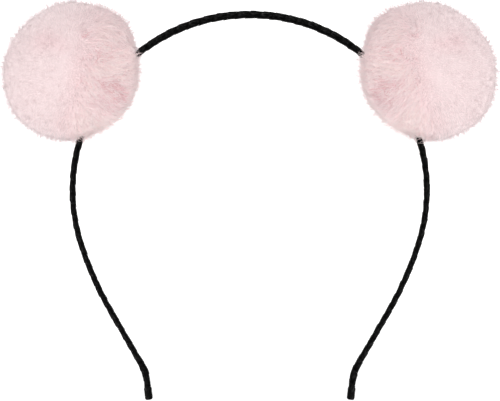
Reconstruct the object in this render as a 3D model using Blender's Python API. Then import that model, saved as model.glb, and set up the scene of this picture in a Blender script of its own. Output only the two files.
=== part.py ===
"""Pompom headband: a slim ribbon-wound alice band with a faux-fur pompom on each side.

Lengths are in metres. Every piece is drawn in the plane of the band, with u to the right,
v up to the crown and w towards the viewer. The whole headband is then laid on its side, so
that it rests on the two pompoms and the two tips, with +Z up and the crown towards +Y.
"""

import math
import random

import bmesh
import bpy
from mathutils import Matrix, Vector

# Band, along its centreline
BAND_SPAN = 0.1222
BAND_REACH = 0.1328
BAND_DEPTH = 0.0055
CROWN_RADIUS = 0.071
CROWN_ANGLE = math.radians(3.0)
HOOP_END = math.radians(107.7)
LEG_TURN = math.radians(12.3)
LEG_CURVED_SHARE = 0.544
TIP_BEND_RADIUS = 0.013
TIP_BEND_ANGLE = math.radians(23.2)
TIP_LENGTH = 0.007

# Thickness of the wound band, seen from the front
CROWN_THICKNESS = 0.0022
LEG_THICKNESS = 0.0017
BEND_THICKNESS = 0.0021
NECK_THICKNESS = 0.0019
THICKNESS_ALONG = [
    # share of the way from the crown to a tip, thickness there
    (0.00, CROWN_THICKNESS),
    (0.36, CROWN_THICKNESS),
    (0.60, LEG_THICKNESS),
    (0.90, LEG_THICKNESS),
    (0.945, BEND_THICKNESS),
    (1.00, NECK_THICKNESS),
]
RIBBON_PITCH = 0.005
RIBBON_THICKNESS = 0.00015
RINGS_PER_TURN = 3
BAND_SIDES = 10

# Bare end of the strip, and the ribbon folded over it
STRIP_THICKNESS = 0.0009
STRIP_DEPTH = 0.0042
STRIP_END_LENGTH = 0.0034
TIP_FOLD_LENGTH = 0.0048
TIP_FOLD_THICKNESS = 0.0023
TIP_FOLD_DEPTH = 0.0059
TIP_FOLD_PROFILE = [
    # share of the fold's length from its mouth, share of its full section there
    (0.00, 0.86),
    (0.25, 0.93),
    (0.55, 1.00),
    (0.80, 1.00),
    (0.93, 0.90),
    (1.00, 0.62),
]

# Pompoms
POMPOM_ANGLE = math.radians(56.4)
POMPOM_OUTSET = 0.0127
POMPOM_LENGTH = 0.0508
POMPOM_HEIGHT = 0.0456
POMPOM_DEPTH = 0.0470
POMPOM_PRESS = 0.0012
LOCK_DEPTH = 0.0024
LOCK_SHOULDER = 0.0009
LOCK_INSET = 0.0012
LOCK_SLANT = 0.0011
LOCK_UNEVENNESS = 0.0003
SPHERE_SUBDIVISIONS = 3
LOCK_SEED = 7

# Hidden elastic loop that ties each pompom to the band
TIE_WIDTH = 0.0030
TIE_THICKNESS = 0.0010

# Room between neighbouring pieces
CLEARANCE = 0.0003
TUNNEL_RING_SPACING = 0.0045
FLOOR_BLOCK_HEIGHT = 0.02

PARTS_NAME = "Pompom headband"
CUTTERS_NAME = "Cutters"
LEFT = -1
RIGHT = 1
SIDE_NAMES = {LEFT: "left", RIGHT: "right"}


def clear_scene():
    for old in list(bpy.data.objects):
        bpy.data.objects.remove(old, do_unlink=True)


def make_collection(name):
    collection = bpy.data.collections.new(name)
    bpy.context.scene.collection.children.link(collection)
    return collection


def make_material(name, colour, roughness, metallic=0.0, sheen=0.0):
    material = bpy.data.materials.new(name)
    material.use_nodes = True
    material.diffuse_color = (*colour, 1.0)
    shader = material.node_tree.nodes["Principled BSDF"]
    shader.inputs["Base Color"].default_value = (*colour, 1.0)
    shader.inputs["Roughness"].default_value = roughness
    shader.inputs["Metallic"].default_value = metallic
    shader.inputs["Sheen Weight"].default_value = sheen
    return material


def hoop_radius():
    """Radius that makes the band exactly BAND_SPAN wide at its widest place."""
    rise = math.sin(CROWN_ANGLE)
    return (BAND_SPAN / 2 - CROWN_RADIUS * rise) / (1 - rise)


def leg_length():
    """Length of the leg that makes the band exactly BAND_REACH high."""
    leg_heading = HOOP_END + LEG_TURN
    tip_heading = leg_heading - TIP_BEND_ANGLE
    fixed_drop = (
        CROWN_RADIUS * (1 - math.cos(CROWN_ANGLE))
        + hoop_radius() * (math.cos(CROWN_ANGLE) - math.cos(HOOP_END))
        + TIP_BEND_RADIUS * (math.cos(tip_heading) - math.cos(leg_heading))
        + TIP_LENGTH * math.sin(tip_heading)
    )
    curved_drop = LEG_CURVED_SHARE / LEG_TURN * (math.cos(HOOP_END) - math.cos(leg_heading))
    straight_drop = (1 - LEG_CURVED_SHARE) * math.sin(leg_heading)
    return (BAND_REACH - fixed_drop) / (curved_drop + straight_drop)


def half_band():
    """Length and turn of each stretch of the centreline from the crown to a tip."""
    leg = leg_length()
    return [
        (CROWN_RADIUS * CROWN_ANGLE, CROWN_ANGLE),
        (hoop_radius() * (HOOP_END - CROWN_ANGLE), HOOP_END - CROWN_ANGLE),
        (leg * LEG_CURVED_SHARE, LEG_TURN),
        (leg * (1 - LEG_CURVED_SHARE), 0.0),
        (TIP_BEND_RADIUS * TIP_BEND_ANGLE, -TIP_BEND_ANGLE),
        (TIP_LENGTH, 0.0),
    ]


STRETCHES = half_band()
HALF_LENGTH = sum(length for length, turn in STRETCHES)


def band_frame(along):
    """Point, direction and outward normal of the centreline.

    The distance along it is 0 at the crown, negative on the left half and positive on the
    right half. The direction is that of growing distance.
    """
    side = LEFT if along < 0 else RIGHT
    left_to_go = abs(along)
    u = 0.0
    v = BAND_REACH
    heading = 0.0
    for number, (length, turn) in enumerate(STRETCHES):
        last = number == len(STRETCHES) - 1
        run = left_to_go if last else min(left_to_go, length)
        swing = turn * run / length
        if turn:
            radius = length / turn
            u += radius * (math.sin(heading + swing) - math.sin(heading))
            v += radius * (math.cos(heading + swing) - math.cos(heading))
        else:
            u += run * math.cos(heading)
            v -= run * math.sin(heading)
        heading += swing
        left_to_go -= run
        if left_to_go <= 0:
            break
    point = Vector((side * u, v, 0.0))
    direction = Vector((math.cos(heading), -side * math.sin(heading), 0.0))
    outward = Vector((side * math.sin(heading), math.cos(heading), 0.0))
    return point, direction, outward


def interpolate(table, place):
    """Value of a table of (place, value) rows, straight between its rows."""
    for (place_a, value_a), (place_b, value_b) in zip(table, table[1:]):
        if place <= place_b:
            share = (place - place_a) / (place_b - place_a)
            return value_a + (value_b - value_a) * share
    return table[-1][1]


def band_thickness(along):
    return interpolate(THICKNESS_ALONG, abs(along) / HALF_LENGTH)


def section_ring(along, thickness, depth, grow=0.0, wound=False):
    """Closed ring of points round the centreline: a flat strip's section with round edges.

    A wound ring carries the ribbon's turns: each turn rises over the edge of the one
    before it, along a helix.
    """
    point, direction, outward = band_frame(along)
    flat_side = math.sin(math.tau * round(BAND_SIDES / 4) / BAND_SIDES)
    ring = []
    for number in range(BAND_SIDES):
        angle = math.tau * number / BAND_SIDES
        across = math.copysign(abs(math.sin(angle) / flat_side) ** 0.7, math.sin(angle))
        front = math.copysign(abs(math.cos(angle)) ** 0.5, math.cos(angle))
        lift = grow
        if wound:
            lift += RIBBON_THICKNESS * ((along / RIBBON_PITCH - angle / math.tau) % 1.0)
        ring.append(
            point
            + outward * (across * thickness / 2 + lift * math.sin(angle))
            + Vector((0, 0, 1)) * (front * depth / 2 + lift * math.cos(angle))
        )
    return ring


def band_ring(along, grow=0.0, wound=False):
    return section_ring(along, band_thickness(along), BAND_DEPTH, grow, wound)


def strip_ring(along, grow=0.0):
    return section_ring(along, STRIP_THICKNESS, STRIP_DEPTH, grow)


def evenly(start, end, spacing):
    """Places from start to end, both included, about spacing apart."""
    steps = max(1, round(abs(end - start) / spacing))
    return [start + (end - start) * step / steps for step in range(steps + 1)]


def loft(name, rings, looped=False):
    """Mesh through rings of as many points each, capped, or joined up end to end."""
    shape = bmesh.new()
    rows = [[shape.verts.new(point) for point in ring] for ring in rings]
    pairs = list(zip(rows, rows[1:]))
    if looped:
        pairs.append((rows[-1], rows[0]))
    else:
        shape.faces.new(rows[0])
        shape.faces.new(rows[-1])
    for row_a, row_b in pairs:
        for number in range(len(row_a)):
            after = (number + 1) % len(row_a)
            shape.faces.new((row_a[number], row_a[after], row_b[after], row_b[number]))
    return finish_mesh(name, shape)


def finish_mesh(name, shape):
    bmesh.ops.recalc_face_normals(shape, faces=shape.faces)
    mesh = bpy.data.meshes.new(name)
    shape.to_mesh(mesh)
    shape.free()
    return mesh


def add_piece(name, mesh, material, collection, holder, sharp_angle):
    piece = bpy.data.objects.new(name, mesh)
    mesh.materials.append(material)
    mesh.shade_smooth()
    mesh.set_sharp_from_angle(angle=sharp_angle)
    collection.objects.link(piece)
    piece.parent = holder
    return piece


def add_cutter(name, mesh, collection, holder):
    cutter = bpy.data.objects.new(name, mesh)
    cutter.hide_render = True
    cutter.display_type = "WIRE"
    collection.objects.link(cutter)
    cutter.parent = holder
    return cutter


def cut(piece, cutter):
    difference = piece.modifiers.new(cutter.name, "BOOLEAN")
    difference.operation = "DIFFERENCE"
    difference.solver = "EXACT"
    difference.object = cutter


def fold_mouth():
    """Distance from the crown to the mouth of the ribbon folded over a tip."""
    return HALF_LENGTH - TIP_FOLD_LENGTH


def band_mesh():
    """The wound band with the bare end of its strip at both tips."""
    shoulder = fold_mouth() - CLEARANCE
    strip_end = shoulder + STRIP_END_LENGTH
    spacing = RIBBON_PITCH / RINGS_PER_TURN
    rings = [strip_ring(-strip_end), strip_ring(-shoulder)]
    rings += [band_ring(along, wound=True) for along in evenly(-shoulder, shoulder, spacing)]
    rings += [strip_ring(shoulder), strip_ring(strip_end)]
    return loft("band", rings)


def tip_fold_rings(side):
    rings = []
    for place, share in TIP_FOLD_PROFILE:
        along = side * (fold_mouth() + TIP_FOLD_LENGTH * place)
        rings.append(section_ring(along, TIP_FOLD_THICKNESS * share, TIP_FOLD_DEPTH * share))
    return rings


def tip_socket_mesh(side):
    """Room in the folded ribbon for the bare end of the strip."""
    start = fold_mouth() - 2 * CLEARANCE
    end = fold_mouth() + STRIP_END_LENGTH
    places = (side * start, side * end)
    return loft("tip_socket", [strip_ring(along, CLEARANCE) for along in places])


def pompom_along():
    """Distance from the crown to the place where a pompom is tied on."""
    return CROWN_RADIUS * CROWN_ANGLE + hoop_radius() * (POMPOM_ANGLE - CROWN_ANGLE)


def pompom_placement(side):
    """Matrix that turns a ball of radius 1 into a pompom, its X along the band."""
    point, direction, outward = band_frame(side * pompom_along())
    centre = point + outward * POMPOM_OUTSET
    placement = Matrix.Translation(centre)
    along = direction * side * POMPOM_LENGTH / 2
    across = outward * POMPOM_HEIGHT / 2
    front = Vector((0, 0, POMPOM_DEPTH / 2))
    for column, axis in enumerate((along, across, front)):
        for row in range(3):
            placement[row][column] = axis[row]
    return placement


def dual_ball():
    """Ball of radius 1 whose faces are cells of five and six sides."""
    ball = bmesh.new()
    bmesh.ops.create_icosphere(ball, subdivisions=SPHERE_SUBDIVISIONS, radius=1.0)
    corners = list(ball.verts)
    edges = list(ball.edges)
    bmesh.ops.poke(ball, faces=list(ball.faces))
    bmesh.ops.rotate_edges(ball, edges=edges, use_ccw=True)
    bmesh.ops.dissolve_verts(ball, verts=corners)
    return ball


def pompom_mesh(side):
    """Locks of fur on one backing: each cell of the ball rises to a slanted point."""
    chance = random.Random(LOCK_SEED)
    radius = POMPOM_HEIGHT / 2
    ball = dual_ball()
    cells = list(ball.faces)
    valleys = set(ball.verts)
    bmesh.ops.inset_individual(ball, faces=cells, thickness=LOCK_INSET / radius, use_even_offset=True)
    shoulders = set(ball.verts) - valleys
    tips = bmesh.ops.poke(ball, faces=cells)["verts"]
    for corner in valleys:
        corner.co = corner.co.normalized() * (1 - LOCK_DEPTH / radius)
    for corner in shoulders:
        corner.co = corner.co.normalized() * (1 - LOCK_SHOULDER / radius)
    for tip in tips:
        outward = tip.co.normalized()
        slant = Vector((chance.uniform(-1, 1), chance.uniform(-1, 1), chance.uniform(-1, 1)))
        slant -= outward * slant.dot(outward)
        height = 1 - chance.uniform(0, LOCK_UNEVENNESS) / radius
        tip.co = (outward + slant * LOCK_SLANT / radius).normalized() * height
    bmesh.ops.transform(ball, matrix=pompom_placement(side), verts=ball.verts)
    return finish_mesh("pompom", ball)


def tunnel_mesh(side):
    """Way through a pompom for the band, with a wider room for the elastic loop."""
    middle = side * pompom_along()
    reach = POMPOM_LENGTH * 0.6
    room = TIE_WIDTH / 2 + CLEARANCE
    band_grow = RIBBON_THICKNESS + CLEARANCE
    tie_grow = band_grow + TIE_THICKNESS + CLEARANCE
    before = evenly(middle - reach, middle - room, TUNNEL_RING_SPACING)
    after = evenly(middle + room, middle + reach, TUNNEL_RING_SPACING)
    rings = [band_ring(along, band_grow) for along in before]
    rings += [band_ring(middle - room, tie_grow), band_ring(middle + room, tie_grow)]
    rings += [band_ring(along, band_grow) for along in after]
    return loft("tunnel", rings)


def tie_mesh(side):
    """Elastic loop round the band, sunk in the pompom."""
    middle = side * pompom_along()
    inside = RIBBON_THICKNESS + CLEARANCE
    outside = inside + TIE_THICKNESS
    corners = [
        (middle - TIE_WIDTH / 2, inside),
        (middle - TIE_WIDTH / 2, outside),
        (middle + TIE_WIDTH / 2, outside),
        (middle + TIE_WIDTH / 2, inside),
    ]
    return loft("tie", [band_ring(along, grow) for along, grow in corners], looped=True)


def reach_of_pompom(towards):
    """How far a pompom reaches from its centre in the direction towards."""
    axes = pompom_placement(RIGHT).to_3x3().transposed()
    return (axes @ towards).length


def lay_down():
    """Tilt and place of the headband on the floor, worked out from its sizes.

    The pompoms are pressed a little flat, and the folded tips touch the floor too.
    """
    tips = [point for ring in tip_fold_rings(RIGHT) for point in ring]
    centre = pompom_placement(RIGHT).translation
    low = 0.0
    high = math.pi / 4
    for _ in range(50):
        tilt = (low + high) / 2
        up = Vector((0, math.sin(tilt), math.cos(tilt)))
        tip_floor = min(point.dot(up) for point in tips)
        pompom_floor = centre.dot(up) - reach_of_pompom(up) + POMPOM_PRESS
        if pompom_floor < tip_floor:
            low = tilt
        else:
            high = tilt
    back = Vector((0, math.cos(tilt), -math.sin(tilt)))
    nearest = min(point.dot(back) for point in tips)
    furthest = centre.dot(back) + reach_of_pompom(back)
    place = Vector((0, -(nearest + furthest) / 2, -tip_floor))
    return tilt, place


def floor_block_mesh():
    block = bmesh.new()
    bmesh.ops.create_cube(block, size=1.0)
    size = Vector((2 * BAND_SPAN, 2 * BAND_REACH, FLOOR_BLOCK_HEIGHT))
    bmesh.ops.scale(block, vec=size, verts=block.verts)
    return finish_mesh("floor_block", block)


def build():
    clear_scene()
    parts = make_collection(PARTS_NAME)
    cutters = make_collection(CUTTERS_NAME)
    ribbon = make_material("Satin ribbon black", (0.006, 0.006, 0.007), 0.42, sheen=0.2)
    fold = make_material("Folded ribbon end black", (0.008, 0.008, 0.009), 0.50, sheen=0.2)
    fur = make_material("Faux fur light pink", (0.90, 0.72, 0.73), 0.95, sheen=0.6)
    elastic = make_material("Elastic white", (0.80, 0.78, 0.77), 0.80)

    tilt, place = lay_down()
    holder = bpy.data.objects.new("Laid on its side", None)
    holder.rotation_euler = (tilt, 0, 0)
    holder.location = place
    parts.objects.link(holder)

    floor_block = add_cutter("floor_block", floor_block_mesh(), cutters, None)
    floor_block.location = (0, 0, -FLOOR_BLOCK_HEIGHT / 2)

    add_piece("band", band_mesh(), ribbon, parts, holder, math.radians(50))
    for side, side_name in SIDE_NAMES.items():
        tip_mesh = loft("tip_fold", tip_fold_rings(side))
        tip = add_piece("tip_fold_" + side_name, tip_mesh, fold, parts, holder, math.radians(50))
        cut(tip, add_cutter("tip_socket_" + side_name, tip_socket_mesh(side), cutters, holder))
        pompom = add_piece("pompom_" + side_name, pompom_mesh(side), fur, parts, holder, math.pi)
        cut(pompom, add_cutter("tunnel_" + side_name, tunnel_mesh(side), cutters, holder))
        cut(pompom, floor_block)
        add_piece("pompom_tie_" + side_name, tie_mesh(side), elastic, parts, holder, math.radians(50))


build()
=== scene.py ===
"""Looks of a pompom headband that lies on its side: wound satin ribbon and faux fur.

Lengths are in metres. The band lies in a tilted plane, with u to the right, v up to the crown
and w off the plane towards the camera. Fur is shaped on a ball of radius 1 round each
pompom's centre, with I outwards from the head, J towards the crown and N towards the camera.
"""

import math
from collections import namedtuple

import bmesh
import bpy
import numpy as np
from mathutils import Matrix, Vector


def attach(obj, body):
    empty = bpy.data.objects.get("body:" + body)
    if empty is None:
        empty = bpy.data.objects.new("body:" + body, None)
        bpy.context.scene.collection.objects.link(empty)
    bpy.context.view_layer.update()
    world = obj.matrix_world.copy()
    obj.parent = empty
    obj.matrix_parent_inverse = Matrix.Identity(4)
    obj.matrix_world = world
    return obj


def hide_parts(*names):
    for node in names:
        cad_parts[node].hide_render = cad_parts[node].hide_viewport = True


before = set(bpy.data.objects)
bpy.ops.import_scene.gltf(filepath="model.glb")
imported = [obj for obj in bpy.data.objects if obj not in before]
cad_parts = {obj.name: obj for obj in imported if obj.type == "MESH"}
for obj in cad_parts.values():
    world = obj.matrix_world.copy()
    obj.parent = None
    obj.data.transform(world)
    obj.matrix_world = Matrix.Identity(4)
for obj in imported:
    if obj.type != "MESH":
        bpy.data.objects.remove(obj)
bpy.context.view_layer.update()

# Band, as in the construction
BAND_SPAN = 0.1222
BAND_REACH = 0.1328
BAND_DEPTH = 0.0055
CROWN_RADIUS = 0.071
CROWN_ANGLE = math.radians(3.0)
HOOP_END = math.radians(107.7)
LEG_TURN = math.radians(12.3)
LEG_CURVED_SHARE = 0.544
TIP_BEND_RADIUS = 0.013
TIP_BEND_ANGLE = math.radians(23.2)
TIP_LENGTH = 0.007
TIP_FOLD_LENGTH = 0.0048
PATH_STEPS = 8000

# Pompoms, as in the construction
POMPOM_ANGLE = math.radians(56.4)
POMPOM_OUTSET = 0.0127
POMPOM_LENGTH = 0.0508
POMPOM_HEIGHT = 0.0456
POMPOM_DEPTH = 0.0470
TIE_WIDTH = 0.0030
TIE_THICKNESS = 0.0010
CLEARANCE = 0.0003

# Wound ribbon
CROWN_THICKNESS = 0.00245
TIE_ROOM = 0.0021
LEG_THICKNESS = 0.00187
BEND_THICKNESS = 0.00235
NECK_THICKNESS = 0.00200
THICKNESS_ALONG = [
    # share of the way from the crown to a tip, thickness there
    (0.00, CROWN_THICKNESS),
    (0.18, CROWN_THICKNESS),
    (0.24, TIE_ROOM),
    (0.44, TIE_ROOM),
    (0.50, 0.5 * (TIE_ROOM + LEG_THICKNESS)),
    (0.60, LEG_THICKNESS),
    (0.90, LEG_THICKNESS),
    (0.945, BEND_THICKNESS),
    (0.97, NECK_THICKNESS),
    (1.00, NECK_THICKNESS),
]
RIBBON_PITCH = 0.0042
RIBBON_THICKNESS = 0.00018
RIBBON_PERIMETER = 0.0135
RIBBON_WANDER = 0.0006
WANDER_PATH = (2.1, 0.7)  # how far the wander's noise is read on with each turn, two ways
WANDER_FADE = 2  # turns at each end over which the wander fades out
PUCKER_HEIGHT = 0.00004
PUCKER_LENGTH = 0.0005
PUCKER_ROUND = 1.6  # radius of the circle that the pucker's noise is read on in each turn
ACROSS_POWER = 0.7  # powers below 1 make the band's section squarer than an oval
FRONT_POWER = 0.5
RIBBON_PROFILE = [
    # share of the pitch from a turn's edge, share of the ribbon's thickness there
    (0.000, 0.10),
    (0.012, 0.80),
    (0.035, 1.00),
    (0.070, 0.96),
    (0.100, 0.84),
    (0.220, 0.80),
    (0.360, 0.66),
    (0.500, 0.52),
    (0.640, 0.36),
    (0.780, 0.18),
    (0.900, 0.05),
    (0.970, 0.00),
]
SECTION_POINTS = 44
BAND_END_INSET = 0.0009
MILLIMETRE = 0.001

# Folded ribbon at the tips
TIP_FOLD_THICKNESS = 0.00268
TIP_FOLD_DEPTH = 0.00584
TIP_FOLD_WALL = 0.00013
FOLD_STEP = 0.00022
FOLD_STEP_PLACES = (0.16, 0.09)  # shares of the fold's length where it is gone and where whole
FOLD_STEP_SLANT = 0.05
FOLD_CREASES_START = 0.02  # distance over the ribbon where the fold's creases are read
# The fold's shades are the ribbon's painted edge highlight and shade, read on along the fold
FOLD_SHADES_START = 0.02  # share of the ribbon's width where the fold's shades start
FOLD_SHADES_WIDTH = 0.6  # share of the ribbon's width that they take up
TIP_FOLD_RINGS = [
    # share of the fold's length from its mouth, share of its section, inner wall or not
    (0.86, 0.93, True),
    (0.60, 0.97, True),
    (0.00, 0.93, True),
    (0.00, 0.93, False),
    (0.04, 0.94, False),
    (0.08, 0.95, False),
    (0.12, 0.97, False),
    (0.16, 0.98, False),
    (0.20, 1.00, False),
    (0.30, 0.99, False),
    (0.45, 0.96, False),
    (0.62, 0.98, False),
    (0.80, 1.00, False),
    (0.88, 0.98, False),
    (0.94, 0.92, False),
    (0.98, 0.80, False),
    (1.00, 0.62, False),
]

# Noises: seed, number of waves, frequency
WANDER_NOISE = (3, 9, 1.0)
PUCKER_NOISE = (5, 12, 1.0)
PATCH_NOISE = (41, 10, 2.6)
BORDER_NOISE = (42, 10, 5.0)
SWIRL_NOISES = [(50, 10, 5.0), (51, 10, 5.0), (52, 10, 5.0)]
SWELL_NOISE = (71, 12, 6.0)
TONE_NOISE = (91, 8, 2.2)
SPEED_RANGE = (0.6, 1.5)  # lowest and highest frequency of a wave, as a share of the noise's
SMALLEST = 1e-12  # least length that a vector is divided by

# Where the fur is coarse, by places on the ball
COARSE_RISE = (-0.20, 0.80)  # from where to where it rises inwards, sooner away from the middle
COARSE_ENDS = 0.45  # how much J, up or down, counts towards that rise
COARSE_SIDE = (-0.25, 0.60)  # from where to where it rises inwards at every height
COARSE_WANDER = 0.12
COARSE_PATCHES = 0.25
BACK_RISE = (-0.1, 0.3)  # from where to where the back begins, away from the camera
BACK_COARSE = 0.35  # how coarse the back is, and how much that changes in patches

# The fur's soft surface and the backing
BODY_RADIUS = 0.972
BODY_DROP = 0.055  # how much lower the backing lies where the fur is coarse
BODY_VALLEYS = 0.3  # share of the valleys' depth that the backing has
SWELL_HEIGHT = 0.006
ROOT_COVER = 0.020  # depth of the roots in the backing, and the fur's least height over it
FLOOR_GAP = 0.0001
BACKING_SUBDIVISIONS = 6
BACKING_SHADE = 0.55
BACKING_SHADE_COARSE = 0.25
BACKING_SHADE_VALLEY = 4.0
BACKING_PINK_AND_SHADE = 0.8

# Room for the band in the fur
TUNNEL_POINTS = 16
TUNNEL_RINGS = 9
TUNNEL_REACH = 0.6  # share of the pompom's length, to each side of its middle
TUNNEL_SPARE = 0.0001
NEARBY_REACH = 0.7  # the same for the stretch of the band that the fur keeps off
NEARBY_POINTS = 161

# Flow of the fur
LINE_POINTS = 25
SPINE_RISE = (-0.05, 0.80)  # distances from a spine where the lean starts and is whole
SPINE_FALL = (0.60, 1.20)  # distances where it starts to fall and has fallen by the next share
SPINE_FALL_SHARE = 0.75
SPINE_END = (1.5, 1.2)  # distances where it has ended and where it starts to end
SWIRL_LEAN = 0.12
SWIRL_LEAN_COARSE = 0.45
SPINES = [
    # front or back, start and end (I, J) of the line that the fur is combed away from
    (1, -0.16, 0.42, -0.17, -0.12),
    (-1, 0.05, 0.30, 0.12, -0.25),
]
EXIT_WIDTH = 0.15
EXIT_LEVEL = 0.975  # radius that the fur is held down to where the band leaves it
FAN_REACH = 1.6  # how many times as wide as a parting the fur fans out from it
# The parting's tint is its roots' pink together with painted shade
TINT_REACH = 1.8  # how many times as wide as a parting its pink is
Parting = namedtuple("Parting", "start_i start_j end_i end_j width depth push pink")
PARTINGS = [
    # start and end (I, J), width, depth, how far it pushes the fur apart, how pink it is, with
    # painted shade
    Parting(-0.21, 0.74, -0.20, 0.54, 0.030, 0.014, 0.50, 0.10),
    Parting(-0.22, 0.12, -0.225, -0.14, 0.015, 0.012, 0.80, 0.12),
    Parting(0.40, 0.44, -0.12, 0.30, 0.110, 0.004, 0.00, 0.06),
    Parting(-0.23, 0.16, -0.53, 0.27, 0.020, 0.012, 0.40, 0.35),
    Parting(-0.55, -0.24, -0.64, -0.28, 0.050, 0.030, 0.30, 0.60),
    Parting(-0.54, -0.18, -0.73, -0.24, 0.013, 0.055, 1.20, 0.95),
    Parting(-0.73, -0.24, -0.83, -0.40, 0.013, 0.055, 1.20, 0.80),
    Parting(-0.59, -0.32, -0.66, -0.31, 0.014, 0.060, 1.20, 1.00),
    Parting(-0.66, -0.31, -0.81, -0.45, 0.013, 0.055, 1.20, 0.85),
    Parting(-0.02, -0.30, 0.06, -0.42, 0.060, 0.004, 0.20, 0.06),
    Parting(-0.21, 0.49, -0.21, 0.485, 0.016, 0.080, 1.40, 0.85),
    Parting(-0.22, -0.155, -0.22, -0.16, 0.016, 0.080, 1.40, 0.85),
    Parting(-0.45, 0.21, -0.53, 0.25, 0.014, 0.060, 1.50, 1.00),
    Parting(-0.60, 0.33, -0.63, 0.32, 0.018, 0.060, 1.50, 1.00),
    Parting(-0.38, -0.17, -0.46, -0.22, 0.014, 0.050, 1.50, 0.90),
    Parting(-0.40, 0.14, -0.48, 0.18, 0.012, 0.040, 1.30, 0.80),
    # This row is mostly painted shade: its pink greys and darkens the fur low on the side towards
    # the head
    Parting(-0.56, -0.50, -0.74, -0.50, 0.130, 0.036, 0.00, 0.38),
]

# Colours of the fur
FUR_ROOT = (0.99, 0.62, 0.65)
FUR_MIDDLE = (0.985, 0.786, 0.789)
FUR_TIP = (0.995, 0.900, 0.872)
FUR_MIDDLE_PLACE = 0.55
FUR_SHEEN = (1.0, 0.93, 0.94)
FUR_TONES = [
    # place along the tone, colour that the fur's own colour is multiplied with
    # the low tones are darker as well as pinker: painted shade where the partings lower the tone
    (0.00, (0.72, 0.34, 0.38)),
    (0.25, (0.90, 0.69, 0.73)),
    (0.45, (0.910, 0.934, 0.940)),
    (0.75, (1.0, 0.98, 0.985)),
    (1.00, (1.0, 1.0, 0.965)),
]
# Colours of the backing, darker than the strands': painted shade deep in the fur, where it shows
# between the strands
BASE_ROOT = (0.86, 0.46, 0.48)
BASE_MIDDLE = (0.655, 0.524, 0.524)
BASE_TIP = (0.655, 0.548, 0.540)

# Tones and shades of the strands: COARSE marks how much one changes where the fur is coarse
TONE_MIDDLE = 0.46
TONE_CHANGE = 0.022
TONE_COARSE = 0.30
STRAND_TONE = 0.14
WISP_TONE = 0.02
WISP_TONE_COARSE = 0.12
# The partings' pink lowers the tone, which also darkens the fur as painted shade
PINK_AND_SHADE_TONE = 0.75  # how far pink lowers the tone, and how much that changes from wisp to wisp
ROOT_SHADE = 0.50
ROOT_SHADE_COARSE = -0.45
TIP_SHADE = 0.56
TIP_SHADE_COARSE = 0.44

# Strands and wisps: COARSE marks how much more or less there is where the fur is coarse
Coat = namedtuple("Coat", "count kept bend width reach spread comb comb_coarse gather light seed")
FUR_COATS = {
    # name: strands, share of them kept where smooth, place of the bend (none if 0), width, reach,
    # spread of it, lean, more lean where coarse, gathering, how much lighter where coarse, seed
    "undercoat": Coat(40000, 0.50, 0.00, 0.00020, 0.992, 0.022, 0.10, 0.12, 0.02, -0.20, 11),
    "guard_hair": Coat(24000, 0.12, 0.62, 0.00015, 0.978, 0.008, 0.26, 0.16, 0.05, 0.05, 23),
    "fringe": Coat(19500, 0.76, 0.86, 0.00010, 1.034, 0.086, 0.02, 0.24, 0.10, 0.22, 37),
}
WISPS = 6000
WISP_SEED = 31
WISP_LOOKS_SEED = 36
WISP_JITTER = 0.006
STRAND_JITTER = 0.010
STRAND_SIDES = 3
COMB_RANGE = (0.8, 1.2)
STRAY_LEAN = 0.05
STRAY_LEAN_COARSE = 0.01
WISP_LEAN_COARSE = 0.06
WISP_SHADING_COARSE = 0.12
WISP_LIFT = 0.25  # share of the coat's spread
WISP_LIFT_COARSE = 0.008
GATHER_COARSE = 0.45
SPREAD_COARSE = 0.010
SPREAD_RANGE = 1.5  # lengths run from -1 of the spread to this much above it
SPREAD_POWER = 1.7  # the higher it is, the fewer strands are long
BEND_LAG = 0.7  # how far a strand has leant over at its bend, for how far it has risen
BEND_WIDTH = 0.85
WIDTH_RANGE = (0.75, 1.2)
WIDTH_SMOOTH = 1.15
WIDTH_COARSE = -0.30
SOFTNESS_COARSE = -0.30
BATCH = 4000  # directions that are compared with the wisps at a time

# Outline of a pompom
OUTLINE_WAVES = [
    # waves round the pompom, share of the radius with the cosine and with the sine
    (1, -0.007, 0.026),
    (2, 0.014, 0.014),
    (3, 0.005, 0.002),
    (4, -0.002, 0.0),
    (5, 0.007, -0.008),
    (6, -0.006, 0.009),
]

# Colours of the ribbon, the elastic and the floor
RIBBON_CREASE_SHEEN_AND_SHADE = [
    # place along the noise, colour: darker and lighter streaks, painted shade and sheen along the
    # ribbon's creases
    (0.36, (0.0002, 0.0002, 0.0002)),
    (0.48, (0.0030, 0.0030, 0.0030)),
    (0.60, (0.0130, 0.0128, 0.0128)),
    (0.72, (0.0260, 0.0255, 0.0255)),
]
RIBBON_EDGE_HIGHLIGHT_AND_SHADE = [
    # share of the pitch from a turn's edge, brightness: a painted highlight on the raised edge,
    # painted shade where the turn goes under the next one
    (0.00, 0.9),
    (0.04, 1.8),
    (0.12, 1.2),
    (0.70, 0.9),
    (0.93, 0.3),
    (1.00, 0.1),
]
RIBBON_INNER_SIDE_SHADE = [
    # from the band's inner side at 0 to its outer side at 1, brightness: painted shade that darkens
    # the inner side
    (0.00, 0.08),
    (0.30, 0.30),
    (0.70, 1.20),
    (1.00, 1.00),
]
CREASE_STRETCH = (1.7, 0.75, 1.0)
CREASE_TURN = 0.5
CREASE_RANGE = (0.3, 0.7)
RIBBON_ROUGHNESS = (0.36, 0.60)  # at the low and the high end of that range
FLOAT_SCALE = 9.0
FLOAT_DISTORTION = 0.6
FLOAT_HEIGHT = 0.00001
FLOAT_STRENGTH = 0.35
RIB_SCALE = 900.0
# Ribs of the elastic: darker stripes of painted shade in the grooves
RIB_GROOVE_SHADE = [(0.0, (0.62, 0.58, 0.58)), (1.0, (0.86, 0.83, 0.83))]
FLOOR_SCALE = 12.0
FLOOR_SHADES = [(0.0, (0.93, 0.93, 0.93)), (1.0, (0.95, 0.95, 0.95))]
WHITE = (1.0, 1.0, 1.0)

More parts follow.
